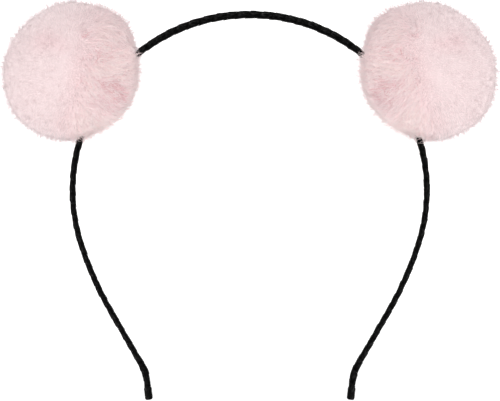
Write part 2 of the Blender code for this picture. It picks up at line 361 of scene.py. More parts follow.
# Camera and light
PIXEL = 0.000345
IMAGE_WIDTH = 500
IMAGE_HEIGHT = 401
AXIS_COLUMN = 249.75
TIPS_ROW = 399.6
CAMERA_DISTANCE = 1.2
CAMERA_RANGE = 10.0
SENSOR_WIDTH = 36.0
WORLD_STRENGTH = 1.15
FLOOR_GLOW = 0.25
FLOOR_SIZE = 6.0
LIGHT_TARGET = (0.0, 0.0, 0.02)
LIGHTS = [
    # name, watts, size, place
    ("Left", 4.0, 1.2, (-1.2, -0.3, 1.0)),
    ("Right", 4.0, 1.2, (1.2, -0.3, 1.0)),
    ("Front", 8.0, 1.0, (0.0, -0.3, 1.5)),
]

LEFT = -1
RIGHT = 1
SIDE_NAMES = {LEFT: "left", RIGHT: "right"}


# The band's path

def make_path():
    """Distance, position and heading along half the centreline, in small steps."""
    rise = math.sin(CROWN_ANGLE)
    hoop = (BAND_SPAN / 2 - CROWN_RADIUS * rise) / (1 - rise)
    leg_heading = HOOP_END + LEG_TURN
    tip_heading = leg_heading - TIP_BEND_ANGLE
    fixed_drop = (
        CROWN_RADIUS * (1 - math.cos(CROWN_ANGLE))
        + hoop * (math.cos(CROWN_ANGLE) - math.cos(HOOP_END))
        + TIP_BEND_RADIUS * (math.cos(tip_heading) - math.cos(leg_heading))
        + TIP_LENGTH * math.sin(tip_heading)
    )
    curved_drop = LEG_CURVED_SHARE / LEG_TURN * (math.cos(HOOP_END) - math.cos(leg_heading))
    straight_drop = (1 - LEG_CURVED_SHARE) * math.sin(leg_heading)
    leg = (BAND_REACH - fixed_drop) / (curved_drop + straight_drop)
    lengths = [
        CROWN_RADIUS * CROWN_ANGLE,
        hoop * (HOOP_END - CROWN_ANGLE),
        leg * LEG_CURVED_SHARE,
        leg * (1 - LEG_CURVED_SHARE),
        TIP_BEND_RADIUS * TIP_BEND_ANGLE,
        TIP_LENGTH,
    ]
    headings = [0, CROWN_ANGLE, HOOP_END, leg_heading, leg_heading, tip_heading, tip_heading]
    places = np.concatenate([[0], np.cumsum(lengths)])
    along = np.linspace(0, places[-1], PATH_STEPS + 1)
    heading = np.interp(along, places, headings)
    step = along[1]
    middle = (heading[1:] + heading[:-1]) / 2
    u = np.concatenate([[0], np.cumsum(np.cos(middle) * step)])
    v = BAND_REACH - np.concatenate([[0], np.cumsum(np.sin(middle) * step)])
    pompom = lengths[0] + hoop * (POMPOM_ANGLE - CROWN_ANGLE)
    return {"along": along, "u": u, "v": v, "heading": heading}, places[-1], pompom


PATH, HALF_LENGTH, POMPOM_ALONG = make_path()


def band_frame(along):
    """Points of the centreline and its outward normals, at distances from the crown."""
    along = np.asarray(along, float)
    side = np.where(along < 0, LEFT, RIGHT)
    distance = np.abs(along)
    u = np.interp(distance, PATH["along"], PATH["u"])
    v = np.interp(distance, PATH["along"], PATH["v"])
    heading = np.interp(distance, PATH["along"], PATH["heading"])
    flat = np.zeros_like(u)
    points = np.stack([side * u, v, flat], -1)
    outward = np.stack([side * np.sin(heading), np.cos(heading), flat], -1)
    return points, outward


def node_middle(node):
    """Middle of the points of a CAD node."""
    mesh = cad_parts[node].data
    corners = np.empty(len(mesh.vertices) * 3, np.float32)
    mesh.vertices.foreach_get("co", corners)
    return corners.reshape(-1, 3).astype(float).mean(axis=0)


def find_plane():
    """Matrix from the band's plane to the world, from two nodes that lie on the band."""
    tie = node_middle("pompom_tie_right")
    tip = node_middle("tip_fold_right")
    tilt = math.atan2(tie[2] - tip[2], tie[1] - tip[1])
    turn = Matrix.Rotation(tilt, 4, "X")
    point = Vector(band_frame(POMPOM_ALONG)[0])
    place = Vector((0, *tie[1:])) - turn @ Vector((0, point.y, 0))
    return Matrix.Translation(place) @ turn


PLANE = find_plane()
PLANE_ARRAY = np.array(PLANE)


def to_world(points):
    """Points of the band's plane, in the world."""
    return points @ PLANE_ARRAY[:3, :3].T + PLANE_ARRAY[:3, 3]


# Meshes and materials

def make_mesh(name, points, faces):
    """Mesh object of faces that all have as many corners, from numpy arrays."""
    mesh = bpy.data.meshes.new(name)
    faces = np.asarray(faces, np.int32)
    sides = faces.shape[1]
    mesh.vertices.add(len(points))
    mesh.vertices.foreach_set("co", np.asarray(points, np.float32).ravel())
    mesh.loops.add(faces.size)
    mesh.loops.foreach_set("vertex_index", faces.ravel())
    mesh.polygons.add(len(faces))
    mesh.polygons.foreach_set("loop_start", np.arange(0, faces.size, sides, dtype=np.int32))
    mesh.polygons.foreach_set("use_smooth", np.full(len(faces), True))
    mesh.update(calc_edges=True)
    piece = bpy.data.objects.new(name, mesh)
    bpy.context.scene.collection.objects.link(piece)
    return piece


def set_uv(mesh, name, values):
    """UV map of one place for each vertex."""
    layer = mesh.uv_layers.new(name=name)
    corners = np.empty(len(mesh.loops), np.int32)
    mesh.loops.foreach_get("vertex_index", corners)
    layer.data.foreach_set("uv", np.asarray(values, np.float32)[corners].ravel())


def finish_piece(piece, material, node):
    """Gives a piece its material and body, and hides the CAD node that it stands for."""
    piece.data.materials.append(material)
    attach(piece, "root")
    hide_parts(node)


def new_material(name, roughness, specular, sheen=0.0, sheen_tint=WHITE):
    material = bpy.data.materials.new(name)
    material.use_nodes = True
    nodes = material.node_tree.nodes
    shader = nodes["Principled BSDF"]
    shader.inputs["Roughness"].default_value = roughness
    shader.inputs["Specular IOR Level"].default_value = specular
    shader.inputs["Sheen Weight"].default_value = sheen
    shader.inputs["Sheen Tint"].default_value = (*sheen_tint, 1)
    return material, nodes, material.node_tree.links, shader


def add_ramp(nodes, stops):
    """Colour ramp through stops, each a place and a colour."""
    ramp = nodes.new("ShaderNodeValToRGB")
    elements = ramp.color_ramp.elements
    while len(elements) < len(stops):
        elements.new(0.5)
    for element, (place, colour) in zip(elements, stops):
        element.position = place
        element.color = (*colour, 1)
    return ramp


def add_grey_ramp(nodes, stops):
    """The same for stops that are each a place and a brightness."""
    return add_ramp(nodes, [(place, (shade, shade, shade)) for place, shade in stops])


def add_noise(nodes, scale, detail=3.0, roughness=0.5):
    noise = nodes.new("ShaderNodeTexNoise")
    noise.inputs["Scale"].default_value = scale
    noise.inputs["Detail"].default_value = detail
    noise.inputs["Roughness"].default_value = roughness
    return noise


def add_uv(nodes, links, name):
    """Node of a UV map, and a node that splits its two places."""
    place = nodes.new("ShaderNodeUVMap")
    place.uv_map = name
    split = nodes.new("ShaderNodeSeparateXYZ")
    links.new(place.outputs["UV"], split.inputs["Vector"])
    return place, split


def add_product(nodes, links, first, second):
    """Colour that comes of multiplying two colours."""
    mix = nodes.new("ShaderNodeMix")
    mix.data_type = "RGBA"
    mix.blend_type = "MULTIPLY"
    mix.inputs["Factor"].default_value = 1.0
    links.new(first, mix.inputs["A"])
    links.new(second, mix.inputs["B"])
    return mix.outputs["Result"]


def fur_material(name, root, middle, tip):
    """Fur coloured from root to tip, each strand a little lighter or deeper than the next."""
    material, nodes, links, shader = new_material(
        name, roughness=0.85, specular=0.15, sheen=0.35, sheen_tint=FUR_SHEEN
    )
    _, split = add_uv(nodes, links, "OFBake")
    ramp = add_ramp(nodes, [(0.0, root), (FUR_MIDDLE_PLACE, middle), (1.0, tip)])
    links.new(split.outputs["Y"], ramp.inputs["Fac"])
    tone = add_ramp(nodes, FUR_TONES)
    links.new(split.outputs["X"], tone.inputs["Fac"])
    colour = add_product(nodes, links, ramp.outputs["Color"], tone.outputs["Color"])
    links.new(colour, shader.inputs["Base Color"])
    return material


def add_creases(nodes, links, place):
    """Long soft creases that run aslant over the ribbon, which its roughness and its painted sheen
    and shade follow.
    """
    stretch = nodes.new("ShaderNodeMapping")
    stretch.inputs["Scale"].default_value = CREASE_STRETCH
    stretch.inputs["Rotation"].default_value = (0.0, 0.0, CREASE_TURN)
    links.new(place.outputs["UV"], stretch.inputs["Vector"])
    crease = add_noise(nodes, scale=1.0, detail=4.0, roughness=0.6)
    links.new(stretch.outputs["Vector"], crease.inputs["Vector"])
    return crease.outputs["Fac"]


def add_floats(nodes, links, place):
    """Normals of the satin's fine floats, which run along the ribbon."""
    wave = nodes.new("ShaderNodeTexWave")
    wave.wave_type = "BANDS"
    wave.bands_direction = "Y"
    wave.inputs["Scale"].default_value = FLOAT_SCALE
    wave.inputs["Distortion"].default_value = FLOAT_DISTORTION
    wave.inputs["Detail"].default_value = 2.0
    links.new(place.outputs["UV"], wave.inputs["Vector"])
    bump = nodes.new("ShaderNodeBump")
    bump.inputs["Strength"].default_value = FLOAT_STRENGTH
    bump.inputs["Distance"].default_value = FLOAT_HEIGHT
    links.new(wave.outputs["Color"], bump.inputs["Height"])
    return bump.outputs["Normal"]


def satin_material():
    """Black satin ribbon: fine floats along it, painted sheen and shade along its creases, a
    painted highlight on each turn's edge with painted shade under the next turn, and painted shade
    on its inner side.
    """
    material, nodes, links, shader = new_material(
        "Black satin ribbon", roughness=0.5, specular=0.008
    )
    place, _ = add_uv(nodes, links, "Ribbon")
    _, side = add_uv(nodes, links, "Side")
    crease = add_creases(nodes, links, place)
    # Painted sheen and shade: the creases are lighter and darker than the black satin's own colour
    colour = add_ramp(nodes, RIBBON_CREASE_SHEEN_AND_SHADE)
    links.new(crease, colour.inputs["Fac"])
    # Painted highlight on each turn's raised edge, and painted shade where the turn goes under the
    # next one
    edge = add_grey_ramp(nodes, RIBBON_EDGE_HIGHLIGHT_AND_SHADE)
    links.new(side.outputs["Y"], edge.inputs["Fac"])
    # Painted shade: the band's inner side is darker
    facing = add_grey_ramp(nodes, RIBBON_INNER_SIDE_SHADE)
    links.new(side.outputs["X"], facing.inputs["Fac"])
    shade = add_product(nodes, links, colour.outputs["Color"], edge.outputs["Color"])
    shade = add_product(nodes, links, shade, facing.outputs["Color"])
    links.new(shade, shader.inputs["Base Color"])
    gloss = nodes.new("ShaderNodeMapRange")
    gloss.inputs["From Min"].default_value, gloss.inputs["From Max"].default_value = CREASE_RANGE
    gloss.inputs["To Min"].default_value, gloss.inputs["To Max"].default_value = RIBBON_ROUGHNESS
    links.new(crease, gloss.inputs["Value"])
    links.new(gloss.outputs["Result"], shader.inputs["Roughness"])
    links.new(add_floats(nodes, links, place), shader.inputs["Normal"])
    return material


def elastic_material():
    """Matt white elastic with fine ribs, drawn as darker stripes: painted shade in the grooves
    between them.
    """
    material, nodes, links, shader = new_material(
        "White elastic", roughness=0.8, specular=0.3, sheen=0.2
    )
    where = nodes.new("ShaderNodeTexCoord")
    wave = nodes.new("ShaderNodeTexWave")
    wave.inputs["Scale"].default_value = RIB_SCALE
    links.new(where.outputs["Object"], wave.inputs["Vector"])
    ramp = add_ramp(nodes, RIB_GROOVE_SHADE)
    links.new(wave.outputs["Color"], ramp.inputs["Fac"])
    links.new(ramp.outputs["Color"], shader.inputs["Base Color"])
    return material


def floor_material():
    """Plain white floor that glows a little, so that it is as pale as the picture's ground."""
    material, nodes, links, shader = new_material("Pale floor", roughness=0.9, specular=0.0)
    where = nodes.new("ShaderNodeTexCoord")
    noise = add_noise(nodes, FLOOR_SCALE)
    links.new(where.outputs["Object"], noise.inputs["Vector"])
    ramp = add_ramp(nodes, FLOOR_SHADES)
    links.new(noise.outputs["Fac"], ramp.inputs["Fac"])
    links.new(ramp.outputs["Color"], shader.inputs["Base Color"])
    shader.inputs["Emission Color"].default_value = (*WHITE, 1)
    shader.inputs["Emission Strength"].default_value = FLOOR_GLOW
    return material


# Smooth noise that comes out the same each time

def make_waves(seed, count, frequency):
    """Plane waves in random directions whose sum is a smooth noise."""
    chance = np.random.default_rng(seed)
    directions = chance.normal(size=(count, 3))
    directions /= np.linalg.norm(directions, axis=1, keepdims=True)
    speeds = frequency * chance.uniform(*SPEED_RANGE, size=(count, 1))
    return directions * speeds, chance.uniform(0, math.tau, size=count)


def noise_at(waves, points):
    """Values of about -1 to 1 at points of the ball."""
    directions, phases = waves
    return np.sin(points @ directions.T + phases).sum(axis=1) / math.sqrt(len(phases))


def smooth_step(low, high, value):
    """Soft rise from 0 at low to 1 at high."""
    share = np.clip((value - low) / (high - low), 0, 1)
    return share * share * (3 - 2 * share)


def unit(vectors):
    return vectors / np.maximum(np.linalg.norm(vectors, axis=-1, keepdims=True), SMALLEST)


# The wound band and its folded ends

def band_points(along, angle, thickness, depth, lift):
    """Points round the band: a flat strip's section with round edges, pushed out by lift."""
    points, outward = band_frame(along)
    across = np.copysign(np.abs(np.sin(angle)) ** ACROSS_POWER, np.sin(angle))
    front = np.copysign(np.abs(np.cos(angle)) ** FRONT_POWER, np.cos(angle))
    out = across * thickness / 2 + lift * np.sin(angle)
    off = front * depth / 2 + lift * np.cos(angle)
    return points + outward * out[..., None] + np.array([0, 0, 1.0]) * off[..., None]


def band_thickness(along):
    """Thickness of the band without its ribbon, at distances from the crown."""
    places = [row[0] for row in THICKNESS_ALONG]
    sizes = [row[1] for row in THICKNESS_ALONG]
    return np.interp(np.abs(along) / HALF_LENGTH, places, sizes)


def close_mesh(piece):
    """Caps the open ends, cuts the caps into triangles and turns every face outwards."""
    shape = bmesh.new()
    shape.from_mesh(piece.data)
    rim = [edge for edge in shape.edges if edge.is_boundary]
    caps = bmesh.ops.holes_fill(shape, edges=rim, sides=0)["faces"]
    bmesh.ops.triangulate(shape, faces=caps)
    bmesh.ops.recalc_face_normals(shape, faces=shape.faces)
    shape.to_mesh(piece.data)
    shape.free()


def make_band(material):
    """Ribbon wound along a helix: one grid whose rows follow the ribbon's edge."""
    turns = int(2 * (HALF_LENGTH - BAND_END_INSET) / RIBBON_PITCH) - 1
    start = -(turns + 1) * RIBBON_PITCH / 2
    phases = np.array([row[0] for row in RIBBON_PROFILE])
    heights = np.array([row[1] for row in RIBBON_PROFILE])
    rows = len(phases)
    columns = turns * SECTION_POINTS + 1
    step = np.arange(columns)[:, None] / SECTION_POINTS
    turn = step + phases[None, :]
    angle = (step % 1.0) * math.tau + np.zeros_like(turn)
    first, second = WANDER_PATH
    helix = np.stack([step * first, step * second, np.ones_like(step)], -1).reshape(-1, 3)
    wander = noise_at(make_waves(*WANDER_NOISE), helix).reshape(columns, 1)
    end_fade = np.clip(np.minimum(turn, turns - turn) / WANDER_FADE, 0, 1)
    along = start + turn * RIBBON_PITCH + RIBBON_WANDER * wander * end_fade
    round_i = PUCKER_ROUND * np.cos(angle)
    round_j = PUCKER_ROUND * np.sin(angle)
    place = np.stack([along / PUCKER_LENGTH, round_i, round_j], -1)
    pucker = noise_at(make_waves(*PUCKER_NOISE), place.reshape(-1, 3)).reshape(turn.shape)
    lift = heights[None, :] * RIBBON_THICKNESS + PUCKER_HEIGHT * pucker
    points = band_points(along, angle, band_thickness(along), BAND_DEPTH, lift)
    number = np.arange(columns * rows).reshape(columns, rows)
    inner = [number[:-1, :-1], number[1:, :-1], number[1:, 1:], number[:-1, 1:]]
    last = columns - 1 - SECTION_POINTS
    seam = [
        number[:last, -1],
        number[1:last + 1, -1],
        number[SECTION_POINTS + 1:SECTION_POINTS + 1 + last, 0],
        number[SECTION_POINTS:SECTION_POINTS + last, 0],
    ]
    faces = np.concatenate([
        np.stack([corner.ravel() for corner in inner], -1),
        np.stack(seam, -1),
    ])
    band = make_mesh("wound_ribbon_band", to_world(points.reshape(-1, 3)), faces)
    around = step * RIBBON_PERIMETER + np.zeros_like(turn)
    across = phases[None, :] * RIBBON_PITCH + np.zeros_like(turn)
    set_uv(band.data, "Ribbon", np.stack([around, across], -1).reshape(-1, 2) / MILLIMETRE)
    # The Side map holds the place round the band, from its inner side to its outer side, which the
    # painted shade of the inner side is read from, and the share of the pitch, which the painted
    # highlight and shade at each turn's edge are read from
    facing = 0.5 + 0.5 * np.sin(angle)
    share = phases[None, :] + np.zeros_like(turn)
    set_uv(band.data, "Side", np.stack([facing, share], -1).reshape(-1, 2))
    close_mesh(band)
    finish_piece(band, material, "band")


def make_loft(name, rings):
    """Closed mesh through rings of as many points each, capped at both ends."""
    count, sides = rings.shape[:2]
    number = np.arange(count * sides).reshape(count, sides)
    after = np.roll(number, -1, axis=1)
    corners = [number[:-1], after[:-1], after[1:], number[1:]]
    faces = np.stack([corner.ravel() for corner in corners], -1)
    loft = make_mesh(name, to_world(rings.reshape(-1, 3)), faces)
    close_mesh(loft)
    return loft


def make_tip_fold(side, material):
    """Ribbon folded over the end of the band: a thin cup, open towards the band."""
    angle = np.arange(SECTION_POINTS) / SECTION_POINTS * math.tau
    mouth = HALF_LENGTH - TIP_FOLD_LENGTH
    rings = []
    for place, share, inner in TIP_FOLD_RINGS:
        along = np.full(SECTION_POINTS, side * (mouth + TIP_FOLD_LENGTH * place))
        wall = TIP_FOLD_WALL if inner else 0.0
        slanted = place + FOLD_STEP_SLANT * np.cos(angle)
        step = smooth_step(*FOLD_STEP_PLACES, slanted) * FOLD_STEP
        lift = np.zeros_like(angle) if inner else -step
        thickness = TIP_FOLD_THICKNESS * share - 2 * wall
        depth = TIP_FOLD_DEPTH * share - 2 * wall
        rings.append(band_points(along, angle, thickness, depth, lift))
    name = "ribbon_fold_" + SIDE_NAMES[side]
    fold = make_loft(name, np.array(rings))
    places = np.array([row[0] for row in TIP_FOLD_RINGS])[:, None] + np.zeros_like(angle)
    around = angle / math.tau * RIBBON_PERIMETER + np.zeros_like(places)
    ribbon = np.stack([around, FOLD_CREASES_START + places * TIP_FOLD_LENGTH], -1).reshape(-1, 2)
    set_uv(fold.data, "Ribbon", ribbon / MILLIMETRE)
    # The same Side map on the fold, for the satin's painted shade of the inner side and its painted
    # edge highlight and shade
    facing = 0.5 + 0.5 * np.sin(angle) + np.zeros_like(places)
    share = FOLD_SHADES_START + FOLD_SHADES_WIDTH * places
    set_uv(fold.data, "Side", np.stack([facing, share], -1).reshape(-1, 2))
    finish_piece(fold, material, "tip_fold_" + SIDE_NAMES[side])


# Fur

def pompom_axes():
    """Direction along the band and outwards from it, in I, J and N."""
    heading = POMPOM_ANGLE
    along = np.array([math.cos(heading), -math.sin(heading), 0.0])
    across = np.array([math.sin(heading), math.cos(heading), 0.0])
    front = np.array([0.0, 0.0, 1.0])
    return along, across, front


def pompom_stretch():
    """Matrix that stretches the ball of radius 1 into a pompom."""
    along, across, front = pompom_axes()
    return (
        np.outer(along, along) * POMPOM_LENGTH / 2
        + np.outer(across, across) * POMPOM_HEIGHT / 2
        + np.outer(front, front) * POMPOM_DEPTH / 2
    )


STRETCH = pompom_stretch()


def to_plane(side, points):
    """Points of the ball, in I, J and N, placed in the band's plane."""
    tied, outward = band_frame(side * POMPOM_ALONG)
    centre = tied + outward * POMPOM_OUTSET
    turn = np.arctan2(points[..., 1], points[..., 0])
    flat = (points[..., :2] ** 2).sum(axis=-1) / (points ** 2).sum(axis=-1)
    swell = sum(
        cosine * np.cos(waves * turn) + sine * np.sin(waves * turn)
        for waves, cosine, sine in OUTLINE_WAVES
    )
    placed = points * (1 + swell * flat)[..., None] @ STRETCH
    placed[..., 0] *= side
    return placed + centre


def even_directions(count, jitter, chance):
    """Directions spread evenly over the ball, each moved a little."""
    number = np.arange(count) + 0.5
    height = 1 - 2 * number / count
    turn = math.pi * (1 + math.sqrt(5)) * number
    flat = np.sqrt(1 - height * height)
    spread = np.stack([flat * np.cos(turn), flat * np.sin(turn), height], -1)
    return unit(spread + jitter * chance.normal(size=spread.shape))


def along_surface(vectors, directions):
    """The part of each vector that lies along the ball's surface."""
    return vectors - directions * (vectors * directions).sum(axis=1, keepdims=True)


def from_line(directions, start_i, start_j, end_i, end_j, face=1):
    """Vectors to directions from the nearest point of a line on the ball's front or back."""
    ends = np.array([[start_i, start_j], [end_i, end_j]])
    share = np.linspace(0, 1, LINE_POINTS)[:, None]
    flat = ends[0] * (1 - share) + ends[1] * share
    height = face * np.sqrt(1 - (flat ** 2).sum(axis=1, keepdims=True))
    line = np.concatenate([flat, height], axis=1)
    nearest = line[(directions @ line.T).argmax(axis=1)]
    return directions - nearest


def near_parting(directions, parting, reach=1.0):
    """Closeness to a parting, 1 on it and 0 away from it, and the way that points away."""
    away = from_line(directions, *parting[:4])
    distance = np.linalg.norm(away, axis=1)
    close = np.exp(-((distance / (parting.width * reach)) ** 2))
    return close, unit(along_surface(away, directions))


def coarse_share(directions):
    """How coarse the fur is: 1 on the side towards the head, low on the outer side."""
    patches = noise_at(make_waves(*PATCH_NOISE), directions)
    border = noise_at(make_waves(*BORDER_NOISE), directions)
    inwards = COARSE_WANDER * border - directions[:, 0]
    inner = smooth_step(*COARSE_RISE, inwards + COARSE_ENDS * np.abs(directions[:, 1]))
    inner *= smooth_step(*COARSE_SIDE, inwards) * (1 - COARSE_PATCHES + COARSE_PATCHES * patches)
    back = smooth_step(*BACK_RISE, -directions[:, 2])
    return np.clip(inner * (1 - back) + (BACK_COARSE + BACK_COARSE * patches) * back, 0, 1)


def lean_field(directions):
    """How far and which way the strands lean over, along the ball's surface."""
    lean = np.zeros_like(directions)
    for face, *line in SPINES:
        away = from_line(directions, *line, face)
        distance = np.linalg.norm(away, axis=1)
        rise = smooth_step(*SPINE_RISE, distance)
        fall = 1 - SPINE_FALL_SHARE * smooth_step(*SPINE_FALL, distance)
        weight = rise * fall * smooth_step(*SPINE_END, distance)
        lean += unit(along_surface(away, directions)) * weight[:, None]
    coarse = coarse_share(directions)[:, None]
    swirl = np.stack([noise_at(make_waves(*noise), directions) for noise in SWIRL_NOISES], -1)
    lean += along_surface(swirl, directions) * (SWIRL_LEAN + SWIRL_LEAN_COARSE * coarse)
    for parting in PARTINGS:
        close, away = near_parting(directions, parting, FAN_REACH)
        share = (close * parting.push)[:, None]
        lean = lean * (1 - share) + away * share
    return lean


def valley_depth(directions):
    """How much lower the fur lies at the partings, as a share of the radius."""
    depth = np.zeros(len(directions))
    for parting in PARTINGS:
        close, _ = near_parting(directions, parting)
        depth += close * parting.depth
    return depth


def surface_level(directions):
    """Radius of the fur's soft surface, with gentle swells and the partings' valleys."""
    swell = noise_at(make_waves(*SWELL_NOISE), directions)
    return 1 + SWELL_HEIGHT * swell - valley_depth(directions)


def pink_and_shade(directions):
    """How much pinker and darker the fur is in and round the partings: pinker where its roots show,
    darker as painted shade in the valleys.
    """
    pink = np.zeros(len(directions))
    for parting in PARTINGS:
        close, _ = near_parting(directions, parting, TINT_REACH)
        pink = np.maximum(pink, close * parting.pink)
    return pink


def soft_tone(directions):
    """Slow change of the fur from pinker to creamier places, creamier still where coarse."""
    change = noise_at(make_waves(*TONE_NOISE), directions)
    return TONE_MIDDLE + TONE_CHANGE * change + TONE_COARSE * coarse_share(directions)


def body_level(directions):
    """Radius of the dense mass of fur below the strands' ends."""
    drop = BODY_DROP * coarse_share(directions) + BODY_VALLEYS * valley_depth(directions)
    return surface_level(directions) * BODY_RADIUS - drop


def near_exit(directions):
    """Closeness to the two places where the band leaves the pompom, 1 on them."""
    along, across, _ = pompom_axes()
    drop = POMPOM_OUTSET / (POMPOM_HEIGHT / 2)
    close = np.zeros(len(directions))
    for way in (-1, 1):
        place = way * math.sqrt(1 - drop ** 2) * along - drop * across
        distance = np.linalg.norm(directions - place, axis=1)
        close = np.maximum(close, np.exp(-((distance / EXIT_WIDTH) ** 2)))
    return close


def nearest_number(directions, centres):
    """Number of the centre that is nearest to each direction, in steps to spare memory."""
    nearest = [
        (directions[first:first + BATCH] @ centres.T).argmax(axis=1)
        for first in range(0, len(directions), BATCH)
    ]
    return np.concatenate(nearest)


def keep_off_band(side, points):
    """Moves points that would lie in the band out of it, across the band."""
    reach = POMPOM_LENGTH * NEARBY_REACH
    along = np.linspace(POMPOM_ALONG - reach, POMPOM_ALONG + reach, NEARBY_POINTS)
    line, outward = band_frame(side * along)
    room = TIE_ROOM / 2 + RIBBON_THICKNESS + CLEARANCE
    held = np.flatnonzero(np.abs(points[:, 2]) < BAND_DEPTH / 2 + RIBBON_THICKNESS + CLEARANCE)
    gap = points[held, None, :2] - line[None, :, :2]
    best = (gap ** 2).sum(axis=2).argmin(axis=1)
    gap = gap[np.arange(len(held)), best]
    normal = outward[best][:, :2]
    across = (gap * normal).sum(axis=1)
    inside = (np.abs(across) < room) & ((gap ** 2).sum(axis=1) < (2 * room) ** 2)
    push = np.where(across < 0, -room, room) - across
    points[held[inside], :2] += (normal * push[:, None])[inside]
    return points


def strand_faces(rings):
    """Triangles of one strand: its root's end, its sides, and the sides that meet at its tip."""
    tip = STRAND_SIDES * rings
    faces = [(0, 2, 1)]
    for ring in range(rings):
        for number in range(STRAND_SIDES):
            low = STRAND_SIDES * ring + number
            low_after = STRAND_SIDES * ring + (number + 1) % STRAND_SIDES
            if ring == rings - 1:
                faces.append((low, low_after, tip))
            else:
                high = low + STRAND_SIDES
                high_after = low_after + STRAND_SIDES
                faces += [(low, low_after, high_after), (low, high_after, high)]
    return np.array(faces)


def strand_mesh(name, points, widths, facing, softness, tones, shades, chance):
    """Closed three-sided strands as one mesh, shaded as the soft surface that they make up.

    points holds each strand's root, bends and tip, and widths its width at all but the tip.
    """
    count, rings = widths.shape
    corners_each = STRAND_SIDES * rings + 1
    axis = unit(points[:, -1] - points[:, 0])
    first = unit(along_surface(chance.normal(size=(count, 3)), axis))
    second = np.cross(axis, first)
    corners = np.empty((count, corners_each, 3))
    normals = np.empty((count, corners_each, 3))
    places = np.empty((count, corners_each, 2))
    places[..., 0] = tones[:, None]
    for ring in range(rings):
        for number in range(STRAND_SIDES):
            corner = STRAND_SIDES * ring + number
            turn = math.tau * number / STRAND_SIDES
            off = first * math.cos(turn) + second * math.sin(turn)
            corners[:, corner] = points[:, ring] + off * widths[:, ring, None] / 2
            normals[:, corner] = facing * softness + off * (1 - softness)
            places[:, corner, 1] = shades[0] + (shades[1] - shades[0]) * ring / rings
    corners[:, -1] = points[:, -1]
    normals[:, -1] = facing
    places[:, -1, 1] = shades[1]
    corners[..., 2] = np.maximum(corners[..., 2], FLOOR_GAP)
    faces = strand_faces(rings)[None] + corners_each * np.arange(count)[:, None, None]
    piece = make_mesh(name, corners.reshape(-1, 3), faces.reshape(-1, 3))
    set_uv(piece.data, "OFBake", places.reshape(-1, 2))
    piece.data.normals_split_custom_set_from_vertices(unit(normals).reshape(-1, 3))
    return piece


def make_wisps(side):
    """Places of a pompom's wisps, with a tone and a tilt for each."""
    places = even_directions(WISPS, WISP_JITTER, np.random.default_rng(WISP_SEED + (side == RIGHT)))
    chance = np.random.default_rng(WISP_LOOKS_SEED)
    tones = chance.uniform(-1, 1, size=WISPS)
    tilts = chance.normal(size=(WISPS, 3))
    return places, tones, tilts


def pick_tips(coat, chance):
    """Places where the strands end, fewer of them where the fur is smooth."""
    tips = even_directions(coat.count, STRAND_JITTER, chance)
    shown = coat.kept + np.maximum(coarse_share(tips), pink_and_shade(tips))
    return tips[chance.uniform(size=coat.count) < shown]


def comb_strands(coat, tips, coarse, wisp_places, wisp_tilts, chance):
    """Roots that the strands lean over from, and tips gathered to wisps and off the partings."""
    combed = coat.comb + coat.comb_coarse * coarse
    combed = combed * chance.uniform(*COMB_RANGE, size=len(tips))
    lean = lean_field(tips) * combed[:, None]
    stray = STRAY_LEAN + STRAY_LEAN_COARSE * coarse
    lean += along_surface(chance.normal(size=tips.shape), tips) * stray[:, None]
    lean += along_surface(wisp_tilts, tips) * (WISP_LEAN_COARSE * coarse)[:, None]
    roots = unit(tips - lean)
    pull = coat.gather + GATHER_COARSE * coarse
    tips = unit(tips + (wisp_places - tips) * pull[:, None])
    for parting in PARTINGS:
        close, away = near_parting(tips, parting)
        tips = unit(tips + away * (close * parting.width * parting.push)[:, None])
    return roots, tips


def strand_points(coat, roots, tips, coarse, wisp_tones, chance):
    """Root, bend if the coat has one, and tip of each strand, on the ball."""
    height = surface_level(tips) * coat.reach
    length = SPREAD_RANGE * chance.uniform(size=len(tips)) ** SPREAD_POWER - 1
    height += (coat.spread + SPREAD_COARSE * coarse) * length
    height += wisp_tones * (WISP_LIFT * coat.spread + WISP_LIFT_COARSE * coarse)
    height -= near_exit(tips) * np.maximum(height - EXIT_LEVEL, 0)
    start = body_level(roots) - ROOT_COVER
    height = np.maximum(height, start + ROOT_COVER)
    levels = [roots * start[:, None], tips * height[:, None]]
    if coat.bend:
        bend = unit(roots + (tips - roots) * coat.bend * BEND_LAG)
        bend_height = start + (height - start) * coat.bend
        levels.insert(1, bend * bend_height[:, None])
    return np.stack(levels, axis=1)


def strand_widths(coat, coarse, chance):
    """Width of each strand at its root, and at its bend if it has one."""
    shares = [1.0, BEND_WIDTH] if coat.bend else [1.0]
    widths = np.full((len(coarse), 1), coat.width) * shares
    finer = WIDTH_SMOOTH + WIDTH_COARSE * coarse
    return widths * chance.uniform(*WIDTH_RANGE, size=(len(coarse), 1)) * finer[:, None]


def surface_normals(side, tips, coarse, wisp_tilts):
    """Normals of the pompom's soft surface in the world, tilted a little with each wisp."""
    facing = tips @ np.linalg.inv(STRETCH)
    facing[:, 0] *= side
    facing = unit(facing) + wisp_tilts * (WISP_SHADING_COARSE * coarse)[:, None]
    return unit(facing @ PLANE_ARRAY[:3, :3].T)


def strand_tones(coat, roots, tips, coarse, wisp_tones, chance):
    """Place of each strand along the fur's tones, pinker and darker in and round the partings, the
    darkness painted shade.
    """
    tones = soft_tone(tips) + (WISP_TONE + WISP_TONE_COARSE * coarse) * wisp_tones
    tones += coarse * (coat.light + STRAND_TONE * chance.normal(size=len(tips)))
    pink = np.maximum(pink_and_shade(roots), pink_and_shade(tips))
    tones -= pink * (PINK_AND_SHADE_TONE + PINK_AND_SHADE_TONE * wisp_tones)
    return np.clip(tones, 0, 1)


